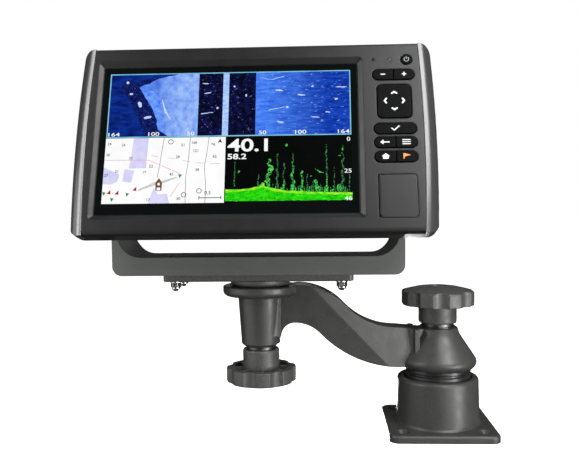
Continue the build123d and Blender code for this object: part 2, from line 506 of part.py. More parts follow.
def side_trim(side):
    """Curved, bowed cap along one side of the face, with rounded ends."""
    u0, u1 = BEZEL_HALF_W + 0.1, CASE_HALF_W
    section = outline((u0, 0.3), (u0, BEZEL_DEPTH), (u1, BEZEL_DEPTH), (u1, 7.8, TRIM_SIDE_R),
                      (u1 - 5.2, 1.0, TRIM_FRONT_R), (u0 + 0.5, 0.0))
    cap = bowed_bar(section, CASE_TOP + CASE_R)
    cap &= slab(bowed_sketch(u1, CASE_BOTTOM, CASE_TOP, CASE_R), -1, BEZEL_DEPTH + 1)
    pocket = outline((u0 + 2.0, 3.6), (u0 + 2.0, BEZEL_DEPTH + 1), (u1 - 2.2, BEZEL_DEPTH + 1),
                     (u1 - 2.2, 7.4))
    cap -= bowed_bar(pocket, CASE_TOP - TRIM_END)
    return cap if side > 0 else mirror(cap, Plane.YZ)


def seal_loop():
    loop = bowed_sketch(BEZEL_HALF_W - 1.0, CASE_BOTTOM + 1.4, CASE_TOP - 1.4, 1.5)
    return loop - offset(loop, -1.2)


def rear_housing():
    rim_front = BEZEL_DEPTH + 0.2
    rim = slab(bowed_sketch(CASE_HALF_W - 0.3, CASE_BOTTOM + 0.3, CASE_TOP - 0.3, CASE_R - 0.3),
               rim_front, RIM_DEPTH)
    rim = fillet(rim.faces().sort_by(Axis.Y)[-1].edges(), 3.5)
    box = slab(box_sketch(-BOX_HALF_W, BOX_HALF_W, BOX_BOTTOM, BOX_TOP, 12.0), RIM_DEPTH - 1, CASE_DEPTH)
    box = fillet(box.faces().sort_by(Axis.Y)[-1].edges(), 5.0)
    side_axis = Pos(0, FACE_TO_PIVOT, 0) * Rot(0, 90, 0)
    body = rim + box
    for side in (-1, 1):
        body += side_axis * Pos(0, 0, side * (BOX_HALF_W + 1.2)) * Cylinder(14.0, 4.4)
    hollow = bowed_sketch(BEZEL_HALF_W - SIDE_WALL - 0.8, CASE_BOTTOM + 3.4, CASE_TOP - 3.4, 4.0)
    body -= slab(hollow, rim_front - 1, RIM_DEPTH - BACK_WALL)
    wall = BACK_WALL
    body -= slab(box_sketch(-BOX_HALF_W + wall, BOX_HALF_W - wall, BOX_BOTTOM + wall, BOX_TOP - wall, 9.0),
                 RIM_DEPTH - BACK_WALL - 1, CASE_DEPTH - BACK_WALL)
    for side in (-1, 1):
        body += side_axis * Pos(0, 0, side * (BOX_HALF_W - 6.5)) * Cylinder(11.0, 10.0)
    trim_bay = box_sketch(BEZEL_HALF_W + 2.1, CASE_HALF_W - 2.6, rim_front - 1, 16.6)
    body -= on_both_sides(bowed_bar(trim_bay, CASE_TOP - TRIM_END))
    body -= side_axis * rod(7.0, -CASE_HALF_W, CASE_HALF_W)
    for u, v in SCREW_SPOTS:
        body += slab(Pos(u, v) * Circle(3.6), rim_front, RIM_DEPTH - 1)
        body -= slab(Pos(u, v) * Circle(1.8), rim_front - 1, RIM_DEPTH + 1)
        body -= slab(Pos(u, v) * Circle(3.2), RIM_DEPTH - 2.2, RIM_DEPTH + 1)
    for u, v in corners(BOARD_W - 10, BOARD_H - 10):
        body += slab(Pos(u, v) * (Circle(3.6) - Circle(1.2)), BOARD_FRONT + BOARD_T, CASE_DEPTH - 1)
    for u, _ in SOCKETS.values():
        body -= slab(Pos(u, SOCKET_V) * Circle(9.0), CASE_DEPTH - 5, CASE_DEPTH + 1)
    for i in range(13):
        fin_u = (i - 6) * 14.0
        body += slab(box_sketch(fin_u - 1.1, fin_u + 1.1, -6.0, 52.0, 1.0), CASE_DEPTH - 0.5, CASE_DEPTH + 3)
    return body - slab(seal_loop(), rim_front - 1, rim_front + 1.2)


def backlight_tray():
    sketch = box_sketch(LCD_U - LCD_W / 2 - 4, LCD_U + LCD_W / 2 + 4,
                        LCD_V - LCD_H / 2 - 4, LCD_V + LCD_H / 2 + 4, 2.0)
    return slab(sketch, 9.0, 13.0) - slab(offset(sketch, -1.2), 10.2, 14.0)


def board_chips():
    spots = [(-52, 18, 26, 26, 3.2), (-8, 22, 16, 16, 2.4), (20, 22, 16, 16, 2.4), (56, 8, 22, 12, 2.0),
             (-58, -26, 14, 20, 4.5), (60, -30, 18, 14, 5.0)]
    return group((slab(box_sketch(u - w / 2, u + w / 2, v - h / 2, v + h / 2), BOARD_FRONT - t, BOARD_FRONT)
                  for u, v, w, h, t in spots), AT_CASE)


def case_screw(u, v):
    seat = RIM_DEPTH - 2.2
    return slab(Pos(u, v) * Circle(2.9), seat, seat + 1.9) + slab(Pos(u, v) * Circle(1.45), 5.0, seat)


def card_reader():
    body = slab(box_sketch(DOOR_LEFT + 3.0, DOOR_RIGHT - 2.0, DOOR_BOTTOM + 2.0, DOOR_TOP - 2.0),
                BAY_BACK, BAY_BACK + 6.0)
    for v in (DOOR_V + 6.5, DOOR_V - 6.5):
        body -= slab(Pos(KEYS_U + 0.6, v) * Rectangle(20.0, 2.4), BAY_BACK - 1, BAY_BACK + 5.0)
    return body


def rear_socket(u):
    """Round locking socket; drawn about Z, then turned to point out of the case's back."""
    profile = ((0, 50.0), (8.9, 50.0), (8.9, CASE_DEPTH), (14.0, CASE_DEPTH), (14.0, 60.6, 0.6),
               (SOCKET_R, 60.6), (SOCKET_R, SOCKET_END, 0.8), (SOCKET_BORE_R, SOCKET_END),
               (SOCKET_BORE_R, 62.0), (0, 62.0))
    return Pos(u, 0, SOCKET_V) * Rot(-90, 0, 0) * turned(*profile)


def socket_pins():
    pins = []
    for u, count in SOCKETS.values():
        for i in range(count):
            angle = 2 * math.pi * i / count
            spot = Pos(u + 4.6 * math.cos(angle), SOCKET_V + 4.6 * math.sin(angle))
            pins.append(slab(spot * Circle(0.75), 62.0, 67.0))
    return group(pins, AT_CASE)


keypad_outline = box_sketch(93.6, 128.9, -26.4, 69.6, 2.0)
lens_outline = box_sketch(GLASS_U - GLASS_W / 2 - 3, GLASS_U + GLASS_W / 2 + 3,
                          GLASS_V - GLASS_H / 2 - 3, GLASS_V + GLASS_H / 2 + 3, 1.5)
lcd_outline = box_sketch(LCD_U - LCD_W / 2 - 3.5, LCD_U + LCD_W / 2 + 3.5,
                         LCD_V - LCD_H / 2 - 3.5, LCD_V + LCD_H / 2 + 3.5)
board_outline = box_sketch(-BOARD_W / 2, BOARD_W / 2, -BOARD_H / 2, BOARD_H / 2, 2.0)
sensor_spots = {"status_led": (LED_U, LED_V, LED_R), "light_sensor": (SENSOR_U, SENSOR_V, SENSOR_R)}

case_nodes = {
    "front_bezel": front_bezel(),
    "left_trim": side_trim(-1),
    "right_trim": side_trim(1),
    "rear_housing": rear_housing(),
    "case_seal": slab(seal_loop(), BEZEL_DEPTH, BEZEL_DEPTH + 1.4),
    "display_lens": slab(lens_outline, FRONT_WALL + FIT, FRONT_WALL + 2.0),
    "lcd_panel": slab(lcd_outline, 5.2, 8.8),
    "backlight_tray": backlight_tray(),
    "main_board": slab(board_outline, BOARD_FRONT, BOARD_FRONT + BOARD_T),
    "keypad_mat": slab(keypad_outline, MAT_FRONT, MAT_FRONT + MAT_T),
    "keypad_board": slab(keypad_outline, MAT_FRONT + MAT_T, MAT_FRONT + MAT_T + KEYBOARD_T),
    "card_reader": card_reader(),
    "card_door_pin": door_pin(),
    "card_door": card_door(),
}
for name, (u, v, radius) in sensor_spots.items():
    case_nodes[name] = slab(Pos(u, v) * Circle(radius - 0.02), 0.15, FRONT_WALL)
for name, (u, _) in SOCKETS.items():
    case_nodes[name] = rear_socket(u)


# ---------------------------------------------------------------- keys
def key(sketch, lip, lip_depth=KEY_LIP_DEPTH, lip_t=KEY_LIP_T):
    """Key cap standing proud of the face, with a wider lip behind the bezel."""
    cap = slab(sketch, -KEY_PROUD, lip_depth)
    cap = fillet(cap.faces().sort_by(Axis.Y)[0].edges(), 0.5)
    return cap + slab(lip, lip_depth, lip_depth + lip_t)


case_nodes["power_key"] = key(POWER_SKETCH, offset(POWER_SKETCH, KEY_LIP))
case_nodes["select_key"] = key(pill(SELECT_V), pill(SELECT_V, KEY_LIP))
for left_name, right_name, v in (("range_out_key", "range_in_key", RANGE_V),
                                 ("back_key", "menu_key", BACK_V), ("home_key", "mark_key", HOME_V)):
    case_nodes[left_name] = key(half_of(pill(v), -1), half_of(pill(v, KEY_LIP), -1))
    case_nodes[right_name] = key(half_of(pill(v), 1), half_of(pill(v, KEY_LIP), 1))
case_nodes["direction_pad"] = key(PAD_SKETCH, offset(PAD_SKETCH, KEY_LIP), PAD_LIP_DEPTH, PAD_LIP_T)
case_nodes["pad_gimbal"] = slab(Pos(KEYS_U, PAD_V) * (Rectangle(11, 4) + Rectangle(4, 11)),
                                GIMBAL_FRONT, GIMBAL_BACK)


# ---------------------------------------------------------------- tilt pivot hardware
def on_side(side, solid):
    """Turn a solid drawn along +Z, measured from the case's middle, to point out of one side."""
    return AT_PIVOT * Rot(0, 90 * side, 0) * solid


TILT_WASHER_START, TILT_WASHER_END = BOX_HALF_W + 3.4, BAIL_W / 2 - BAIL_T - GAP
KNOB_WASHER_START = BAIL_W / 2 + GAP
TILT_KNOB_START = KNOB_WASHER_START + 1.2 + GAP
TILT_KNOB = lobed_knob(TILT_KNOB_R, TILT_KNOB_VALLEY_R, 9.5, 3.6, 12.0, 1.6,
                       bore_r=TILT_STUD_R + FIT, bore_h=9.0, pocketed=False)
for side, name in ((-1, "left"), (1, "right")):
    nodes[f"{name}_knob_washer"] = on_side(side, ring(10.5, TILT_STUD_R + FIT, KNOB_WASHER_START,
                                                     KNOB_WASHER_START + 1.2))
    nodes[f"{name}_tilt_knob"] = on_side(side, Pos(0, 0, TILT_KNOB_START) * TILT_KNOB)
    nodes[f"{name}_knob_stud"] = on_side(side, rod(TILT_STUD_R, BOX_HALF_W - 9.0, TILT_KNOB_START + 9.0))
nodes["pivot_inserts"] = group(
    on_side(side, ring(7.0, TILT_STUD_R + FIT, BOX_HALF_W - 11.0, BOX_HALF_W + 3.4)) for side in (-1, 1))
nodes["tilt_washers"] = group(
    on_side(side, ring(12.5, TILT_STUD_R + FIT, TILT_WASHER_START, TILT_WASHER_END)) for side in (-1, 1))

for name, solid in case_nodes.items():
    nodes[name] = AT_CASE * solid
nodes["board_chips"] = board_chips()
nodes["socket_pins"] = socket_pins()
nodes["case_screws"] = group((case_screw(u, v) for u, v in SCREW_SPOTS), AT_CASE)

for name, solid in nodes.items():
    export_step(solid, f"parts/{name}.step")
print(len(nodes), "nodes; head axis at", round(HEAD_X, 3), round(HEAD_Y, 3),
      "tilt axis at", round(PIVOT_Y, 3), PIVOT_Z)
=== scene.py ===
import json
import math

import bmesh
import bpy
from mathutils import Matrix, Vector, noise


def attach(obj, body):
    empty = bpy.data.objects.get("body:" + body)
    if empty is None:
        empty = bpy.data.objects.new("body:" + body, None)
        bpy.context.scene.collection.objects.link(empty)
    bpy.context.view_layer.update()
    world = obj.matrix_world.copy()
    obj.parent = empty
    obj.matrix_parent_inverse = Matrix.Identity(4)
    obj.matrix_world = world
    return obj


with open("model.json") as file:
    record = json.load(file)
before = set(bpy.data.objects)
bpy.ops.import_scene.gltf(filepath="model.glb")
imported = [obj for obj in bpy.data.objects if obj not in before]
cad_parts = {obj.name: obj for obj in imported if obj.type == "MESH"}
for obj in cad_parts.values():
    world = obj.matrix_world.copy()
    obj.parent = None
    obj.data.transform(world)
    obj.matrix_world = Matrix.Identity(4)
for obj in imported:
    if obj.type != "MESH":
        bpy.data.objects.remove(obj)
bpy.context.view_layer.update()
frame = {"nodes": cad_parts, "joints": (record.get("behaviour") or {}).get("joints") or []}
scene = bpy.context.scene
nodes = frame["nodes"]
joints = {joint["name"]: joint for joint in frame["joints"]}
MM = 0.001

# ---------------------------------------------------------------- places
# The face frame: x along the screen, y up the screen, z out of it, origin level with the tilt axis.
TILT_BACK = math.radians(18.25)
FACE_TO_PIVOT = 39.1 * MM
FACE = (
    Matrix.Translation(Vector(joints["display_tilt"]["pos_m"]))
    @ Matrix.Rotation(math.pi / 2 - TILT_BACK, 4, "X")
    @ Matrix.Translation((0, 0, FACE_TO_PIVOT))
)
LENS_FRONT = -3.05              # mm, where the glass's front is in the face frame
LAYER = 0.02                    # mm, thickness of one printed or lit layer
# Levels above the glass or a key's front, each one layer higher than the one before.
GROUND, PANE, AREA, DETAIL, OVERLAY, MARK, SPOT, TOP = range(8)


# ---------------------------------------------------------------- materials
WHITE = [1.0, 1.0, 1.0, 1.0]
BLACK = [0.0, 0.0, 0.0, 1.0]
SPECK_TONE = [0.8, 0.8, 0.8, 1.0]
WEAR_STARTS, WEAR_FULL = 0.995, 0.8     # cosine of the angle between a flat face and its softened edge
WORN_LIGHTER = 3.0                      # a worn edge is this many times lighter
FLECK_SIZE = 0.45                       # of the size of the patches that the flecks lie in


def linear(*rgb):
    """Linear colour with alpha from 0-255 display values."""
    return [(c / 255 / 12.92 if c < 10.4 else ((c / 255 + 0.055) / 1.055) ** 2.4) for c in rgb] + [1.0]


def shade(colour, factor):
    """The same colour, this many times lighter."""
    return [min(1.0, c * factor) for c in colour[:3]] + [1.0]


def add(tree, kind, inputs=None, **settings):
    """One shader node. An input given as a socket is linked, anything else is set."""
    made = tree.nodes.new("ShaderNode" + kind)
    for key, value in settings.items():
        setattr(made, key, value)
    for key, value in (inputs or {}).items():
        if isinstance(value, bpy.types.NodeSocket):
            tree.links.new(value, made.inputs[key])
        else:
            made.inputs[key].default_value = value
    return made


def new_material(name, sockets):
    """A material with these values on its shader, its node tree and the shader."""
    mat = bpy.data.materials.new(name)
    mat.use_nodes = True
    shader = mat.node_tree.nodes["Principled BSDF"]
    for key, value in sockets.items():
        shader.inputs[key].default_value = value
    return mat, mat.node_tree, shader


def texture_place(tree, stretch):
    """Coordinates fixed to the piece, in metres, times `stretch`."""
    where = add(tree, "TexCoord").outputs["Object"]
    return add(tree, "Mapping", {"Vector": where, "Scale": stretch}).outputs["Vector"]


def cloud(tree, where, size, detail=3.0, low=0.3, high=0.7, out_low=0.0, out_high=1.0):
    """Noise with features about `size` mm wide, spread over the range asked for."""
    made = add(tree, "TexNoise", {"Vector": where, "Scale": 1 / (size * MM), "Detail": detail})
    spread = {"Value": made.outputs["Fac"], "From Min": low, "From Max": high,
              "To Min": out_low, "To Max": out_high}
    return add(tree, "MapRange", spread).outputs["Result"]


def blended(tree, factor, first, second):
    """A colour between the first and the second."""
    made = add(tree, "Mix", data_type="RGBA")
    for socket, value in zip((made.inputs[0], made.inputs[6], made.inputs[7]), (factor, first, second)):
        if isinstance(value, bpy.types.NodeSocket):
            tree.links.new(value, socket)
        else:
            socket.default_value = value
    return made.outputs[2]


def finish(name, colour, spread=0.15, patch=14.0, speck=0.12, grain=0.8, relief=0.01, rough=0.45,
           rough_spread=0.06, edge=0.4, wear=0.0, stretch=(1, 1, 1), **sockets):
    """A procedural finish. Sizes are in mm: `patch` is the width of cloudy colour changes, `grain`
    the width of the surface grain, `relief` its height and `edge` the softness of sharp edges."""
    named = {key.replace("_", " ").title().replace("Ior", "IOR"): value for key, value in sockets.items()}
    mat, tree, shader = new_material(name, named)
    where = texture_place(tree, stretch)
    dark, light = shade(colour, 1 - spread), shade(colour, 1 + spread)
    tone = blended(tree, cloud(tree, where, patch), dark, light)
    fleck = cloud(tree, where, grain, detail=2.0, low=0.35, high=0.65)
    tone = blended(tree, fleck, tone, blended(tree, speck, tone, SPECK_TONE))
    soft = add(tree, "Bevel", {"Radius": edge * MM}, samples=4).outputs["Normal"]
    if wear:
        flat = add(tree, "NewGeometry").outputs["Normal"]
        level = add(tree, "VectorMath", {0: soft, 1: flat}, operation="DOT_PRODUCT").outputs["Value"]
        rub = add(tree, "MapRange", {"Value": level, "From Min": WEAR_STARTS, "From Max": WEAR_FULL,
                                     "To Min": 0.0, "To Max": wear}).outputs["Result"]
        uneven = cloud(tree, where, patch / 4)
        rub = add(tree, "Math", {0: rub, 1: uneven}, operation="MULTIPLY").outputs["Value"]
        tone = blended(tree, rub, tone, shade(colour, WORN_LIGHTER))
    tree.links.new(tone, shader.inputs["Base Color"])
    rough_map = cloud(tree, where, patch / 3, detail=4.0, out_low=rough - rough_spread,
                      out_high=rough + rough_spread)
    tree.links.new(rough_map, shader.inputs["Roughness"])
    bump = add(tree, "Bump", {"Height": fleck, "Distance": relief * MM, "Strength": 1.0, "Normal": soft})
    tree.links.new(bump.outputs["Normal"], shader.inputs["Normal"])
    return mat


def lit(name, dark, light, size=3.0, stretch=(1, 1, 1), low=0.35, high=0.65, detail=4.0, fleck=None,
        fade=None):
    """A lit patch of the screen: two colours mottled by noise, with bright flecks if asked for.
    `fade` holds the mm across the screen where it starts and ends, and the two colours it leads to."""
    mat, tree, shader = new_material(name, {"Roughness": 0.5, "Specular IOR Level": 0.02,
                                            "Emission Strength": 1.0, "Base Color": BLACK})
    where = texture_place(tree, stretch)
    mottle = cloud(tree, where, size, detail, low, high)
    tone = blended(tree, mottle, dark, light)
    if fade:
        start, end, far_dark, far_light = fade
        across = add(tree, "SeparateXYZ", {"Vector": texture_place(tree, (1, 1, 1))}).outputs["X"]
        ends = {"Value": across, "From Min": start * MM, "From Max": end * MM}
        part = add(tree, "MapRange", ends).outputs["Result"]
        tone = blended(tree, part, tone, blended(tree, mottle, far_dark, far_light))
    if fleck:
        spots = cloud(tree, where, size * FLECK_SIZE, detail=1.0, low=0.66, high=0.74)
        tone = blended(tree, spots, tone, fleck)
    tree.links.new(tone, shader.inputs["Emission Color"])
    return mat


TURNED = {"patch": 4, "speck": 0.0, "grain": 0.3, "relief": 0.003, "stretch": (1, 1, 6), "metallic": 1.0}
FINISHES = {
    "dark_cast_aluminium": finish("cast_powder_coat", linear(49, 50, 47), spread=0.07, patch=22,
                                  speck=0.015, grain=0.9, relief=0.012, rough=0.4, edge=1.2, wear=0.12,
                                  specular_ior_level=0.4),
    "black_acetal": finish("acetal", linear(18, 18, 18), speck=0.02, relief=0.003, rough=0.34,
                           specular_ior_level=0.5),
    "stainless_steel": finish("turned_steel", linear(196, 197, 194), spread=0.06, rough=0.26, **TURNED),
    "brass": finish("machined_brass", linear(206, 170, 98), spread=0.08, rough=0.28, **TURNED),
    "knob_plastic": finish("knob_nylon", linear(46, 47, 45), spread=0.12, patch=12, speck=0.05, grain=0.7,
                           relief=0.02, rough=0.48, edge=0.6, wear=0.08),
    "bracket_plastic": finish("bracket_nylon", linear(74, 76, 73), spread=0.06, patch=24, speck=0.02,
                              grain=0.8, relief=0.01, rough=0.5, edge=0.7, wear=0.1),
    "plate_black": finish("plate_powder_coat", linear(44, 44, 43), spread=0.12, patch=16, speck=0.05,
                          grain=0.8, relief=0.015, rough=0.5, edge=0.6),
    "case_plastic": finish("case_satin", linear(20, 20, 20), spread=0.05, patch=30, speck=0.004,
                           grain=0.6, relief=0.003, rough=0.38, rough_spread=0.03, edge=1.4,
                           specular_ior_level=0.36),
    "trim_plastic": finish("trim_satin", linear(50, 50, 51), spread=0.04, patch=30, speck=0.005,
                           grain=0.6, relief=0.001, rough=0.26, rough_spread=0.015, edge=0.15,
                           specular_ior_level=0.7),
    "seal_rubber": finish("seal_rubber", linear(18, 18, 18), relief=0.01, rough=0.7),
    "screen_glass": finish("black_glass", linear(7, 9, 9), spread=0.1, patch=60, speck=0.0, grain=4.0,
                           relief=0.0, rough=0.05, rough_spread=0.01, edge=0.2, specular_ior_level=0.25),
    "lcd": finish("lcd_dark", linear(10, 14, 22), spread=0.1, patch=20, speck=0.0, rough=0.2),
    "tray_steel": finish("pressed_steel", linear(150, 150, 150), spread=0.08, patch=10, speck=0.0,
                         metallic=1.0, rough=0.35),
    "circuit_board": finish("solder_mask", linear(16, 74, 38), spread=0.2, patch=2.5, speck=0.1,
                            rough=0.35),
    "chip_black": finish("chip_epoxy", linear(22, 22, 23), relief=0.004, rough=0.55),
    "key_rubber": finish("key_silicone", linear(6, 6, 7), spread=0.06, patch=8, speck=0.002, grain=0.6,
                         relief=0.004, rough=0.42, edge=0.5, specular_ior_level=0.04),
    "pin_gold": finish("gold_plate", linear(232, 190, 100), spread=0.05, patch=2, speck=0.0, metallic=1.0,
                       rough=0.25),
    "window_dark": finish("smoked_window", linear(14, 10, 14), spread=0.1, patch=2, speck=0.0, relief=0.0,
                          rough=0.12),
}
for node in nodes.values():
    for held in node.material_slots:
        held.material = FINISHES[held.material.name.split(".")[0]]

# Painted shade: a darker copy of the steel for parts that catch no light: two knob washers and the door's
# pin.
steel_painted_shade = finish("steel_painted_shade", linear(84, 84, 82), spread=0.12, rough=0.4, **TURNED)
for name in ("upper_knob_washer", "lower_knob_washer", "card_door_pin"):
    nodes[name].material_slots[0].material = steel_painted_shade


# ---------------------------------------------------------------- mesh helpers
NOISE_SEED = 1
noise.seed_set(NOISE_SEED)      # without it noise_vector gives other shapes in each run
ROUND_STEPS = 20                # sides of an ellipse
RING_PARTS = 12                 # bands of a ring
RAGGED_NOISE = 0.35             # how fast the push on a ragged outline changes, per mm
WEED_STEP = 1.4                 # mm between the points of an upright echo
WEED_NOISE, WEED_APART = 0.3, 3.7       # how fast its sway changes, per mm and from one to the next
WEED_SWAY, WEED_TIP, WEED_FOOT, WEED_SWELL = 0.9, 0.55, 0.5, 0.6    # of its width


def prism(bm, points, low, high):
    """A flat-sided plate with this outline, between two heights."""
    ground = [bm.verts.new((x * MM, y * MM, low * MM)) for x, y in points]
    top = [bm.verts.new((x * MM, y * MM, high * MM)) for x, y in points]
    bm.faces.new(reversed(ground))
    bm.faces.new(top)
    for i in range(len(points)):
        j = (i + 1) % len(points)
        bm.faces.new((ground[i], ground[j], top[j], top[i]))


def ribbon(points, width):
    """Outline of a band along a line. `width` is one number, or one for each point."""
    widths = width if isinstance(width, (list, tuple)) else [width] * len(points)
    spots = [Vector(p) for p in points]
    left, right = [], []
    for i, spot in enumerate(spots):
        along = (spots[min(i + 1, len(spots) - 1)] - spots[max(i - 1, 0)]).normalized()
        side = Vector((-along.y, along.x)) * widths[i] / 2
        left.append(spot + side)
        right.append(spot - side)
    return [tuple(p) for p in left + right[::-1]]


def rectangle(x0, y0, x1, y1):
    """Outline of a rectangle from its left, bottom, right and top."""
    return [(x0, y0), (x1, y0), (x1, y1), (x0, y1)]


def ellipse(x, y, rx, ry, turn=0.0):
    """Outline of an ellipse with its middle at (x, y), turned by this many radians."""
    c, s = math.cos(turn), math.sin(turn)
    angles = [2 * math.pi * i / ROUND_STEPS for i in range(ROUND_STEPS)]
    ring = [(rx * math.cos(a), ry * math.sin(a)) for a in angles]
    return [(x + c * p - s * q, y + s * p + c * q) for p, q in ring]


def ring_parts(x, y, r, width):
    """A ring as short bands, as one band can't close on itself."""
    angles = [2 * math.pi * i / RING_PARTS for i in range(RING_PARTS + 1)]
    spots = [(x + r * math.cos(a), y + r * math.sin(a)) for a in angles]
    return [ribbon(spots[i:i + 2], width) for i in range(RING_PARTS)]


def ragged(points, step=1.6, amount=0.6, seed=0.0):
    """The same outline with its sides divided and pushed about by smooth noise."""
    made = []
    for a, b in zip(points, points[1:] + points[:1]):
        a, b = Vector(a), Vector(b)
        count = max(1, round((b - a).length / step))
        for i in range(count):
            p = a.lerp(b, i / count)
            push = noise.noise_vector((p.x * RAGGED_NOISE, p.y * RAGGED_NOISE, seed))
            made.append((p.x + push.x * amount, p.y + push.y * amount))
    return made


def clipped(points, box):
    """The same outline, held inside this rectangle."""
    x0, y0, x1, y1 = box
    return [(min(max(x, x0), x1), min(max(y, y0), y1)) for x, y in points]


def weed(u, low, high, width, seed):
    """A ragged upright echo that sways with smooth noise and is widest at its foot."""
    count = max(3, round((high - low) / WEED_STEP))
    line, widths = [], []
    for i in range(count + 1):
        t = i / count
        push = noise.noise_vector((seed * WEED_APART, t * (high - low) * WEED_NOISE, 1.5))
        line.append((u + push.x * width * WEED_SWAY, low + (high - low) * t))
        widths.append(width * (WEED_TIP + WEED_FOOT * (1 - t) + WEED_SWELL * push.y))
    return ribbon(line, widths)


def piece(name, outlines, level, body, material, base, thick=LAYER):
    """A printed or lit piece in the face frame, one plate for each outline."""
    bm = bmesh.new()
    low = base + (level + 0.5) * LAYER
    for points in outlines:
        prism(bm, points, low, low + thick)
    return placed(name, bm, body, material)


def placed(name, bm, body, material):
    """Make a mesh drawn in the face frame a piece that rides on `body`."""
    bmesh.ops.recalc_face_normals(bm, faces=bm.faces)
    data = bpy.data.meshes.new(name)
    bm.to_mesh(data)
    bm.free()
    data.materials.append(material)
    made = bpy.data.objects.new(name, data)
    scene.collection.objects.link(made)
    made.matrix_world = FACE
    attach(made, body)
    return made


def numbers(name, entries, level, material, weight):
    """Digits on the screen, each entry (text, left, bottom, height, width or None). `weight` makes
    them bolder."""
    bm = bmesh.new()
    for text, left, bottom, height, width in entries:
        curve = bpy.data.curves.new(name, "FONT")
        curve.body = text
        curve.offset = weight
        curve.extrude = 0.5         # one unit thick, which is scaled to one layer
        holder = bpy.data.objects.new(name, curve)
        shape = bpy.data.meshes.new_from_object(holder)
        xs = [v.co.x for v in shape.vertices]
        ys = [v.co.y for v in shape.vertices]
        tall = height / (max(ys) - min(ys))
        wide = width / (max(xs) - min(xs)) if width else tall
        middle = LENS_FRONT + (level + 1) * LAYER
        shape.transform(
            Matrix.Translation(Vector((left, bottom, middle)) * MM)
            @ Matrix.Diagonal((wide * MM, tall * MM, LAYER * MM, 1))
            @ Matrix.Translation((-min(xs), -min(ys), 0))
        )
        bm.from_mesh(shape)
        bpy.data.objects.remove(holder)
        bpy.data.curves.remove(curve)
        bpy.data.meshes.remove(shape)
    return placed(name, bm, "display", material)


# ---------------------------------------------------------------- screen picture
# Screen coordinates are mm in the face frame. A pane is (left, bottom, right, top).
SCREEN_L, SCREEN_R, SCREEN_B, SCREEN_T = -118.6, 77.4, -54.4, 57.4
SPLIT_V, SPLIT_U = 1.0, -22.2           # where the panes meet, up the screen and across it
LINE, GAP_V, GAP_U = 0.9, 0.4, 0.7      # the sonar pane's frame and the gaps beside the lower panes
SONAR = (SCREEN_L + LINE, SPLIT_V + LINE, SCREEN_R - LINE, SCREEN_T - LINE)
CHART = (SCREEN_L, SCREEN_B, SPLIT_U, SPLIT_V - GAP_V)
DEPTH = (SPLIT_U + GAP_U, SCREEN_B, SCREEN_R, SPLIT_V - GAP_V)
COLUMN_L, STRIPE_L, STRIPE_R, COLUMN_R = -45.2, -25.4, -20.6, 1.2
PORT_MIDDLE = -60               # where the far port water ends, under the near water

LIT = {
    "frame_line": lit("lit_frame_line", linear(88, 178, 214), linear(150, 214, 230), size=20),
    "deep_blue": lit("lit_deep_blue", linear(1, 16, 88), linear(10, 54, 158), size=7,
                     stretch=(0.8, 2.2, 1), low=0.3, high=0.72, detail=6),
    "band": lit("lit_band", linear(2, 10, 62), linear(14, 34, 112), size=3, fleck=linear(76, 90, 176)),
    "pale": lit("lit_pale", linear(56, 104, 216), linear(106, 152, 246), size=6, stretch=(1.4, 1, 1),
                low=0.3, high=0.7, detail=8,
                fade=(-84, -58, linear(106, 148, 240), linear(170, 202, 254))),
    "mid_blue": lit("lit_mid_blue", linear(66, 120, 244), linear(120, 168, 252), size=5,
                    stretch=(1, 1.4, 1), low=0.35, high=0.65, detail=6),
    "column": lit("lit_column", linear(2, 3, 24), linear(12, 20, 80), size=4, low=0.4, high=0.7,
                  fleck=linear(96, 84, 150)),
    "stripe": lit("lit_stripe", linear(140, 184, 252), linear(196, 220, 255), size=2.4,
                  stretch=(0.6, 1.4, 1)),
    "blue": lit("lit_blue", linear(44, 100, 230), linear(88, 148, 255), size=3.4, stretch=(0.35, 1.6, 1),
                low=0.3, high=0.7, detail=8, fleck=linear(128, 174, 255),
                fade=(6, 58, linear(2, 30, 136), linear(20, 76, 200))),
    "echo": lit("lit_echo", linear(150, 190, 255), linear(226, 236, 255), size=1.0),
    "paper": lit("lit_paper", linear(250, 250, 250), linear(255, 255, 255), size=12),
    "shoal": lit("lit_shoal", linear(208, 206, 244), linear(222, 220, 250), size=6),
    "grey_line": lit("lit_grey_line", linear(120, 122, 138), linear(150, 150, 164), size=3),
    "channel": lit("lit_channel", linear(186, 192, 188), linear(214, 218, 212), size=1.4),
    "pink": lit("lit_pink", linear(226, 160, 192), linear(240, 184, 210), size=3),
    "ink": lit("lit_ink", linear(26, 26, 36), linear(60, 60, 74), size=2),
    "red": lit("lit_red", linear(150, 14, 30), linear(196, 40, 50), size=1.5),
    "buoy_green": lit("lit_buoy_green", linear(30, 120, 50), linear(70, 160, 80), size=1.5),
    "hull": lit("lit_hull", linear(92, 58, 40), linear(132, 92, 66), size=1.5),
    "bed": lit("lit_bed", linear(8, 168, 6), linear(46, 240, 14), size=2.0, stretch=(0.5, 1.2, 1),
               low=0.3, high=0.7, detail=6, fleck=linear(170, 246, 30)),
    "bed_top": lit("lit_bed_top", linear(60, 220, 10), linear(196, 250, 60), size=1.6,
                   stretch=(0.5, 1.4, 1)),
    "weed": lit("lit_weed", linear(3, 40, 8), linear(84, 222, 92), size=1.1, stretch=(1, 0.7, 1), low=0.4,
                high=0.6, detail=3),
    "faint": lit("lit_faint", linear(1, 10, 4), linear(70, 150, 90), size=1.0, stretch=(1, 0.7, 1),
                 low=0.42, high=0.64, detail=3),
    "white": lit("lit_white", linear(244, 246, 246), linear(255, 255, 255), size=4),
    "black": lit("lit_black", linear(1, 2, 2), linear(3, 5, 4), size=6),
}


def screen(name, outlines, level, key):
    """A lit piece of the picture, in one of the LIT looks."""
    return piece(name, outlines, level, "display", LIT[key], LENS_FRONT)


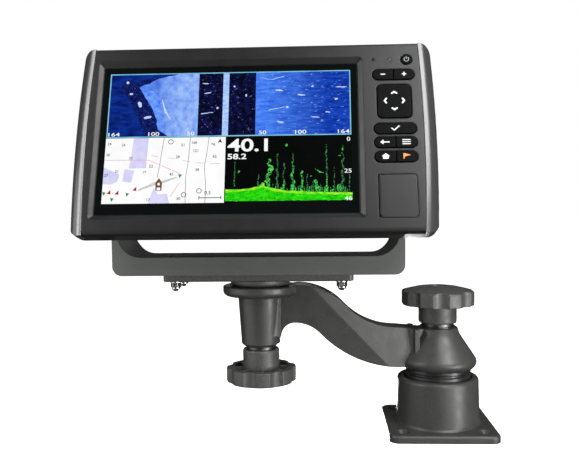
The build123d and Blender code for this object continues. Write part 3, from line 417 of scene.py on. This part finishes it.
# The sonar pane
screen("pane_frame", [rectangle(SCREEN_L, SPLIT_V, SCREEN_R, SCREEN_T)], GROUND, "frame_line")
sonar_l, sonar_b, sonar_r, sonar_t = SONAR
screen("sonar_port_far", [rectangle(sonar_l, sonar_b, PORT_MIDDLE, sonar_t)], PANE, "deep_blue")
near_water = [(-94, 45), (-87, 50.5), (-77, 53), (-62, sonar_t), (COLUMN_L, sonar_t), (COLUMN_L, sonar_b),
              (-69, sonar_b), (-77.5, 8), (-78.5, 17), (-83, 27), (-89, 36.5)]
near_box = (-98, sonar_b, COLUMN_L, sonar_t)
screen("sonar_port_near", [clipped(ragged(near_water), near_box)], AREA, "pale")
shelf = [(-94, 45), (-89, 36.5), (-83, 27), (-78.5, 17), (-77.5, 8), (-74, 6), (-73, 18), (-76, 30),
         (-78, 40)]
screen("sonar_port_shelf", [ragged(shelf, step=1.2, amount=0.9, seed=4.0)], DETAIL, "mid_blue")
hole_edge = [(-110, 45), (-103, 36), (-97, 24), (-92, 14), (-90, 6), (-88, sonar_b), (-69, sonar_b),
             (-76, 5.5), (-78.2, 10), (-79, 17), (-84, 27), (-90, 37), (-95, 45.5), (-85, 49), (-77, 54),
             (-88, 52), (-98, 50), (-104, 52)]
hole = ragged(hole_edge, step=1.4, amount=0.8, seed=2.0)
screen("sonar_hole", [clipped(hole, SONAR)], OVERLAY, "band")
screen("sonar_columns", [rectangle(COLUMN_L, sonar_b, STRIPE_L, sonar_t),
                         rectangle(STRIPE_R, sonar_b, COLUMN_R, sonar_t)], MARK, "column")
screen("sonar_stripe", [rectangle(STRIPE_L, sonar_b, STRIPE_R, sonar_t)], MARK, "stripe")
screen("sonar_starboard", [rectangle(COLUMN_R, sonar_b, sonar_r, sonar_t)], DETAIL, "blue")
fish = [(-93, 30, 1.5, 2.6, 0.4), (-86, 18.5, 3.0, 1.1, 0.2), (-100.5, 39.5, 1.4, 0.9),
        (-104, 49.5, 1.1, 1.2), (-40, 47.5, 2.6, 0.5, -0.1), (-38, 39, 2.8, 0.4, 0.15),
        (-29.5, 25.5, 0.9, 0.9), (-16.2, 44.6, 0.9, 0.8), (-6.5, 36.5, 0.8, 1.1),
        (20, 40.5, 3.0, 0.7, -0.1), (38, 36, 3.2, 0.7, -0.06), (26.5, 25.5, 1.2, 0.9),
        (47, 43.5, 0.9, 1.0), (21, 12.5, 2.8, 0.8, -0.2), (66, 32, 1.5, 0.8, 0.3),
        (49, 16.5, 3.6, 0.4, -0.1), (59, 20.5, 2.0, 0.6), (70, 42.5, 4.5, 0.5, -0.03)]
streaks = [([(-43, 21), (-38, 21.5), (-33, 22)], 0.6), ([(12, 23), (18, 24.5), (25, 26)], 0.5),
           ([(4, 52), (14, 50), (24, 53)], 0.4), ([(-75, 34), (-72, 24), (-67, 16)], [0.4, 1.8, 0.4])]
echoes = [ellipse(*place) for place in fish] + [ribbon(line, width) for line, width in streaks]
screen("sonar_echoes", [ragged(outline, step=0.9, amount=0.5, seed=3.0) for outline in echoes], SPOT, "echo")

# The chart pane
chart_l, chart_b, _, chart_t = CHART
screen("chart_paper", [rectangle(*CHART)], PANE, "paper")
shoals = [[(-96, chart_t), (-84, chart_t), (-85, -25), (-98.5, -25.3)],
          [(chart_l, -24), (-111, -27.5), (-106, -30), (-107, -36), (-112, -38.5), (chart_l, -38)],
          [(-102, -25.8), (-94, -27), (-96, -37), (-103, -36)],
          [(-78, -42), (-74, -47), (-67, -46.5), (-66, -51), (-65, chart_b), (-82, chart_b)]]
screen("chart_shoals", shoals, AREA, "shoal")
contours = [[(-71.5, chart_t), (-73, -12), (-74, -22), (-75.5, -33)],
            [(-50.5, chart_t), (-51.5, -21), (-53, -33), (-52.5, chart_b)],
            [(-35.5, chart_t), (-37, -14), (-38.5, -25), (-37, -38), (-37, chart_b)]]
screen("chart_contours", [ribbon(line, 0.45) for line in contours], DETAIL, "grey_line")
channel = ribbon([(-90, -43.5), (-77, -38), (-70, -36.5), (-60, -33)], [1.5, 2.4, 2.0, 1.0])
screen("chart_channel", [channel], DETAIL, "channel")
tracks = [[(chart_l, -18), (-83, -18.3), (-74, -22.5), (-64, -27), (-56, -31)],
          [(-58, -38), (-64.5, -49)], [(-81, -14.5), (-76, -15.5)], [(-68, -16.5), (-62, -17.5)],
          [(-56, -19), (-50, -20)], [(-45, -21), (-38, -21.5)], [(-34, -22), (-26, -22)]]
screen("chart_tracks", [ribbon(line, 0.5) for line in tracks], OVERLAY, "pink")
rings = [part for x, y in ((-66, -3), (-42, -44.5), (-54, -47.5)) for part in ring_parts(x, y, 1.9, 0.5)]
arrow = [(-28.6, -4.6), (-26.6, -0.8), (-24.8, -4.6), (-26.6, -3.6)]
scale_bar = [rectangle(-42.0, -50.5, -24.6, -49.9), rectangle(-42.2, -51.6, -41.6, -48.8),
             rectangle(-25.0, -51.6, -24.4, -48.8)]
screen("chart_marks", rings + scale_bar + [arrow], MARK, "ink")
red_buoys = [[(x, y), (x + 3.2, y - 0.6), (x + 3.0, y + 3.2)]
             for x, y in ((-115, -46), (-108.6, -46.5), (-94.6, -43.5))]
screen("chart_red_buoys", red_buoys, MARK, "red")
green_buoys = [[(x, y + 2.6), (x + 3.0, y + 2.0), (x + 1.2, y - 0.8)]
               for x, y in ((-112, -52), (-100, -48), (-59, -33), (chart_l, -47))]
screen("chart_green_buoys", green_buoys, MARK, "buoy_green")
hull = [(-76.4, -44), (-76.6, -37.5), (-74, -33.4), (-71.4, -37.5), (-71.6, -44)]
screen("chart_boat", [hull], SPOT, "hull")
deck = [ellipse(-74, -38.6, 1.0, 1.2), rectangle(-75.4, -43.6, -72.6, -41.4)]
screen("chart_boat_deck", deck, TOP, "paper")
SOUNDING_HEIGHT = 2.3
soundings = [("24", -117, -5.2), ("26", -105.5, -6.2), ("20", -117.5, -14.6), ("22", -82.5, -24.6),
             ("19", -87, -29.6), ("51", -57.6, -7), ("166", -49, -5), ("121", -47.5, -12),
             ("96", -33.4, -6.8), ("21", -109.5, -28.6), ("27", -118, -31.8), ("30", -59.5, -51.8),
             ("28", -61.5, -17), ("38", -45.5, -28), ("62", -32, -17), ("17", -82.8, -52.6),
             ("45", -66, -31.5), ("33", -99, -17.5)]
sounding_entries = [(text, x, y, SOUNDING_HEIGHT, None) for text, x, y in soundings]
numbers("chart_soundings", sounding_entries, MARK, LIT["ink"], weight=0.01)
numbers("chart_scale_number", [("0.5", -37.6, -47.6, 3.0, None)], MARK, LIT["ink"], weight=0.01)

# The depth pane. An upright echo is (across, foot, tip, width).
depth_l, depth_b, depth_r, _ = DEPTH
screen("depth_ground", [rectangle(*DEPTH)], GROUND, "black")
bed_line = [(depth_l, -43.6), (-12, -43.8), (0, -42.6), (6, -40.8), (9, -38.4), (9.6, -41.6), (14, -42.6),
            (24, -44.8), (44, -46.2), (62, -46.8), (depth_r, -47)]
BED_LIFT, CREST_DEPTH = 1.2, 1.8
bed = bed_line + [(depth_r, depth_b + BED_LIFT), (depth_l, depth_b + BED_LIFT)]
screen("depth_bed", [clipped(ragged(bed, step=1.2, amount=0.5, seed=1.0), DEPTH)], AREA, "bed")
crest = bed_line + [(x, y - CREST_DEPTH) for x, y in reversed(bed_line)]
screen("depth_bed_crest", [clipped(ragged(crest, step=1.2, amount=0.45, seed=1.0), DEPTH)], DETAIL,
       "bed_top")
strong = [(12.2, -43, -18.5, 3.0), (31.3, -45, -21, 2.0), (38.5, -45.5, -29, 1.6),
          (49.8, -45.5, -36.5, 3.0), (66.8, -46, -40.5, 2.4), (24.5, -44.5, -37, 2.0), (57.4, -46, -34, 1.4)]
faint = [(-14.4, -41, -20, 0.9), (4.4, -41, -31, 1.0), (19.2, -43.5, -14.5, 1.5), (24.2, -37.5, -22, 1.4),
         (31.4, -21, -13.5, 0.8), (57.6, -34, -7, 1.3), (70.2, -46, -14, 2.0), (75.2, -46, -32, 1.0),
         (63.6, -46, -26, 0.8), (42.5, -45, -31.5, 1.2), (46.8, -45.5, -38, 1.2), (53.6, -45.5, -40, 1.2)]
GRASS_COUNT, GRASS_START, GRASS_STEP = 44, 11, 1.45
GRASS_FOOT, GRASS_TIP, GRASS_WIDTH = -47.5, -42, 0.8
GRASS_VARIES, GRASS_NOISE = 5, 2.3      # how far a tip strays, and how different the next one is
grass = [(GRASS_START + GRASS_STEP * i, GRASS_FOOT,
          GRASS_TIP + GRASS_VARIES * noise.noise((i * GRASS_NOISE, 0.5, 0.0)), GRASS_WIDTH)
         for i in range(GRASS_COUNT)]


def upright(name, echoes, level, key, widen=1.0, seed=0):
    """A piece made of upright echoes, each with a noise seed of its own."""
    screen(name, [weed(u, low, high, widen * width, seed + i)
                  for i, (u, low, high, width) in enumerate(echoes)], level, key)


upright("depth_weeds", strong, AREA, "weed", widen=1.2)
upright("depth_grass", grass, PANE, "weed", seed=50)
upright("depth_traces", faint, DETAIL, "faint", seed=20)
loose = [ellipse(26, -7, 0.9, 1.4, 0.4), ellipse(-11.4, -29, 1.4, 0.8, 0.8), ellipse(70.4, -10, 0.7, 2.2),
         ribbon([(49, -27.5), (52, -30), (55.5, -31)], [0.5, 1.2, 0.4]), ellipse(68, -16.5, 1.0, 0.6),
         ribbon([(4, -42), (7, -39.5), (10.5, -36)], [1.6, 1.0, 0.5]), ellipse(45.5, -33.5, 0.8, 0.5)]
screen("depth_loose_echoes", [ragged(outline, step=0.9, amount=0.5, seed=5.0) for outline in loose],
       OVERLAY, "weed")
numbers("depth_number", [("40.1", -20.6, -12.2, 11.0, 32.0)], MARK, LIT["white"], weight=0.02)
numbers("temperature_number", [("58.2", -20.4, -18.6, 4.7, 15.0)], MARK, LIT["white"], weight=0.02)
SCALE_HEIGHT, RANGE_HEIGHT = 3.4, 3.2   # of the depth scale's digits and the sonar ranges' digits
RANGE_FOOT = 2.3                        # where the ranges' digits stand
scale_marks = [("0", 73.8, -4.4, SCALE_HEIGHT, 2.6), ("25", 71.4, -31, SCALE_HEIGHT, 5.6),
               ("46", 71.4, -53.4, SCALE_HEIGHT, 5.6)]
ranges = [("164", -117.0, 9.2), ("100", -84.6, 8.8), ("50", -53.4, 5.8), ("50", 4.2, 5.8),
          ("100", 33.0, 8.8), ("164", 66.8, 9.2)]
range_marks = [(text, x, RANGE_FOOT, RANGE_HEIGHT, width) for text, x, width in ranges]
numbers("scale_numbers", scale_marks + range_marks, TOP, LIT["white"], weight=0.008)

# ---------------------------------------------------------------- key legends
# Key middles are mm in the face frame, and each legend is drawn about its key's middle.
KEYS_U = 111.7
RANGE_APART, PAIR_APART = 8.4, 8.2      # from the keys' middle line to each key of a pair
RANGE_V, PAD_V, SELECT_V, BACK_V, HOME_V = 50.9, 27.7, 4.2, -7.4, -19.3
POWER_AT = (122.5, 64.0)
KEY_FRONT = 0.9                         # where the keys' fronts are in the face frame
PRINT = {"patch": 3, "speck": 0.0, "relief": 0.0, "edge": 0.05}
legend_white = finish("legend_print", linear(214, 216, 216), spread=0.04, rough=0.5, **PRINT)
legend_orange = finish("legend_print_orange", linear(226, 134, 62), spread=0.05, rough=0.5, **PRINT)
# The grey print also stands in for the power key's glint, as a painted highlight.
legend_grey_painted_glint = finish("legend_print_grey_painted_glint", linear(150, 152, 154), spread=0.05, rough=0.4, **PRINT)


def legend(name, body, outlines, at, material=legend_white):
    """A printed icon on a key, twice as thick as the screen's layers."""
    moved = [[(x + at[0], y + at[1]) for x, y in outline] for outline in outlines]
    return piece(name, moved, GROUND, body, material, KEY_FRONT, 2 * LAYER)


SIGN, HALF = 1.8, 0.4                   # reach and half width of the plus and minus signs
minus = rectangle(-SIGN, -HALF, SIGN, HALF)
legend("range_out_legend", "range_out_key", [minus], (KEYS_U - RANGE_APART, RANGE_V))
plus = [(-SIGN, -HALF), (-HALF, -HALF), (-HALF, -SIGN), (HALF, -SIGN), (HALF, -HALF), (SIGN, -HALF),
        (SIGN, HALF), (HALF, HALF), (HALF, SIGN), (-HALF, SIGN), (-HALF, HALF), (-SIGN, HALF)]
legend("range_in_legend", "range_in_key", [plus], (KEYS_U + RANGE_APART, RANGE_V))
tick = ribbon([(-3.0, 0.2), (-1.0, -1.7), (3.2, 2.0)], 0.95)
legend("select_legend", "select_key", [tick], (KEYS_U, SELECT_V))
back_arrow = [ribbon([(3.4, 0), (-1.6, 0)], 0.9), [(-1.4, -2.0), (-1.4, 2.0), (-4.0, 0)]]
legend("back_legend", "back_key", back_arrow, (KEYS_U - PAIR_APART, BACK_V))
menu_bars = [rectangle(-3.2, y - 0.35, 3.2, y + 0.35) for y in (-1.7, 0, 1.7)]
legend("menu_legend", "menu_key", menu_bars, (KEYS_U + PAIR_APART, BACK_V))
house = [(-2.2, -2.1), (2.2, -2.1), (2.2, 0.1), (3.2, 0.1), (0, 2.5), (-3.2, 0.1), (-2.2, 0.1)]
legend("home_legend", "home_key", [house], (KEYS_U - PAIR_APART, HOME_V))
flag = [(-2.8, -2.2), (-2.0, -2.2), (-2.0, -0.4), (3.0, 0.9), (-2.0, 2.4), (-2.8, 2.4)]
legend("mark_legend", "mark_key", [flag], (KEYS_U + PAIR_APART, HOME_V), legend_orange)

ARROW_REACH, ARROW_HALF, ARROW_RISE = 6.9, 2.3, 0.8     # where an arrow's middle is, and its size
ARROW_WIDTHS = [1.1, 1.7, 1.1]
for number, (dx, dy) in enumerate(((0, 1), (-1, 0), (0, -1), (1, 0))):
    tip = (dx * (ARROW_REACH + ARROW_RISE), dy * (ARROW_REACH + ARROW_RISE))
    foot = ARROW_REACH - ARROW_RISE
    ends = [(dx * foot + s * ARROW_HALF * dy, dy * foot + s * ARROW_HALF * dx) for s in (-1, 1)]
    legend(f"pad_arrow_{number}", "direction_pad", [ribbon([ends[0], tip, ends[1]], ARROW_WIDTHS)],
           (KEYS_U, PAD_V))

# The power sign is printed in light grey, which also paints the glint on the key: partly print, partly a
# painted highlight.
POWER_R, POWER_GAP, POWER_PARTS = 1.9, 0.6, 16          # arc's radius, half gap in radians and its parts
power_turns = [POWER_GAP + i * (2 * math.pi - 2 * POWER_GAP) / POWER_PARTS for i in range(POWER_PARTS + 1)]
power_arc = [(POWER_R * math.sin(a), POWER_R * math.cos(a)) for a in power_turns]
power_sign_and_glint = [ribbon(power_arc, 0.5), rectangle(-0.25, 0.2, 0.25, 2.2)]
legend("power_legend_and_glint", "power_key", power_sign_and_glint, POWER_AT, legend_grey_painted_glint)

# ---------------------------------------------------------------- floor, light and camera
FLOOR_REACH = 6.0               # m, half the floor's width
FLOOR_DROP = 0.0003             # m, so that it doesn't share a plane with the foot plate's underside
floor_bm = bmesh.new()
bmesh.ops.create_grid(floor_bm, x_segments=8, y_segments=8, size=FLOOR_REACH)
floor_mesh = bpy.data.meshes.new("floor")
floor_bm.to_mesh(floor_mesh)
floor_bm.free()
floor = bpy.data.objects.new("floor", floor_mesh)
floor.location = (0, 0, -FLOOR_DROP)
scene.collection.objects.link(floor)
paper = finish("pale_floor", linear(236, 236, 236), spread=0.01, patch=300, speck=0.0, grain=5.0,
               relief=0.0, rough=0.9, edge=0.1)
paper_shader = paper.node_tree.nodes["Principled BSDF"]
paper_shader.inputs["Emission Color"].default_value = WHITE
paper_shader.inputs["Emission Strength"].default_value = 1.0
floor_mesh.materials.append(paper)
floor.visible_diffuse = False
floor.visible_glossy = False
floor.visible_shadow = False

# The camera sees a white world, while the part is lit by a dim one that is lighter above.
GLOW_BELOW, GLOW_ABOVE = [0.03, 0.03, 0.031, 1.0], [0.07, 0.07, 0.072, 1.0]
world = bpy.data.worlds.new("studio")
scene.world = world
world.use_nodes = True
world_tree = world.node_tree
background = world_tree.nodes["Background"]
seen = add(world_tree, "LightPath").outputs["Is Camera Ray"]
direction = add(world_tree, "TexCoord").outputs["Generated"]
height = add(world_tree, "SeparateXYZ", {"Vector": direction}).outputs["Z"]
rise = add(world_tree, "MapRange", {"Value": height, "From Min": -0.2, "From Max": 1.0}).outputs["Result"]
glow = blended(world_tree, rise, GLOW_BELOW, GLOW_ABOVE)
world_tree.links.new(blended(world_tree, seen, glow, WHITE), background.inputs["Color"])

LIGHTS_AIM = Vector((-0.08, 0.0, 0.18))


def softbox(name, azimuth, elevation, distance, width, height, power):
    """A rectangular lamp aimed at the part's middle. Azimuth and elevation are in degrees, azimuth
    from the front towards the right, the rest in metres and watts."""
    a, e = math.radians(azimuth), math.radians(elevation)
    toward = Vector((math.sin(a) * math.cos(e), -math.cos(a) * math.cos(e), math.sin(e)))
    data = bpy.data.lights.new(name, "AREA")
    data.shape, data.size, data.size_y, data.energy = "RECTANGLE", width, height, power
    lamp = bpy.data.objects.new(name, data)
    lamp.location = LIGHTS_AIM + toward * distance
    lamp.rotation_euler = toward.to_track_quat("Z", "Y").to_euler()
    scene.collection.objects.link(lamp)


softbox("key_light", 38, 44, 1.0, 0.6, 0.5, 12)
softbox("low_light", 26, -4, 0.95, 0.22, 0.34, 3.2)
softbox("bounce_light", 52, -12, 0.9, 0.15, 0.24, 6)
softbox("left_light", -60, 30, 0.85, 0.18, 0.5, 3)
softbox("top_light", 170, 72, 1.4, 1.2, 0.8, 3)
softbox("fill_light", -64, -6, 0.46, 0.4, 0.4, 0.95)
softbox("back_light", 180, -26, 1.2, 0.5, 0.3, 13)

# The photo's camera: it stands in front, looks slightly left and down, and is rolled a little.
CAMERA_AT = (-0.0994, -0.6152, 0.2002)
CAMERA_LENS = 43.88             # mm, on a sensor 36 mm wide
AZIMUTH, PITCH, ROLL = math.radians(2.68), math.radians(3.08), math.radians(-0.63)
forward = Vector((-math.sin(AZIMUTH) * math.cos(PITCH), math.cos(AZIMUTH) * math.cos(PITCH),
                  -math.sin(PITCH)))
sideways = Vector((math.cos(AZIMUTH), math.sin(AZIMUTH), 0))
upwards = sideways.cross(forward)
right = sideways * math.cos(ROLL) + upwards * math.sin(ROLL)
up = upwards * math.cos(ROLL) - sideways * math.sin(ROLL)
camera_data = bpy.data.cameras.new("camera")
camera_data.sensor_width, camera_data.lens = 36.0, CAMERA_LENS
camera_data.clip_start, camera_data.clip_end = 0.01, 50.0
camera = bpy.data.objects.new("camera", camera_data)
turn = Matrix((right, up, -forward)).transposed().to_4x4()
camera.matrix_world = Matrix.Translation(CAMERA_AT) @ turn
scene.collection.objects.link(camera)
scene.camera = camera
scene.view_settings.view_transform = "Standard"
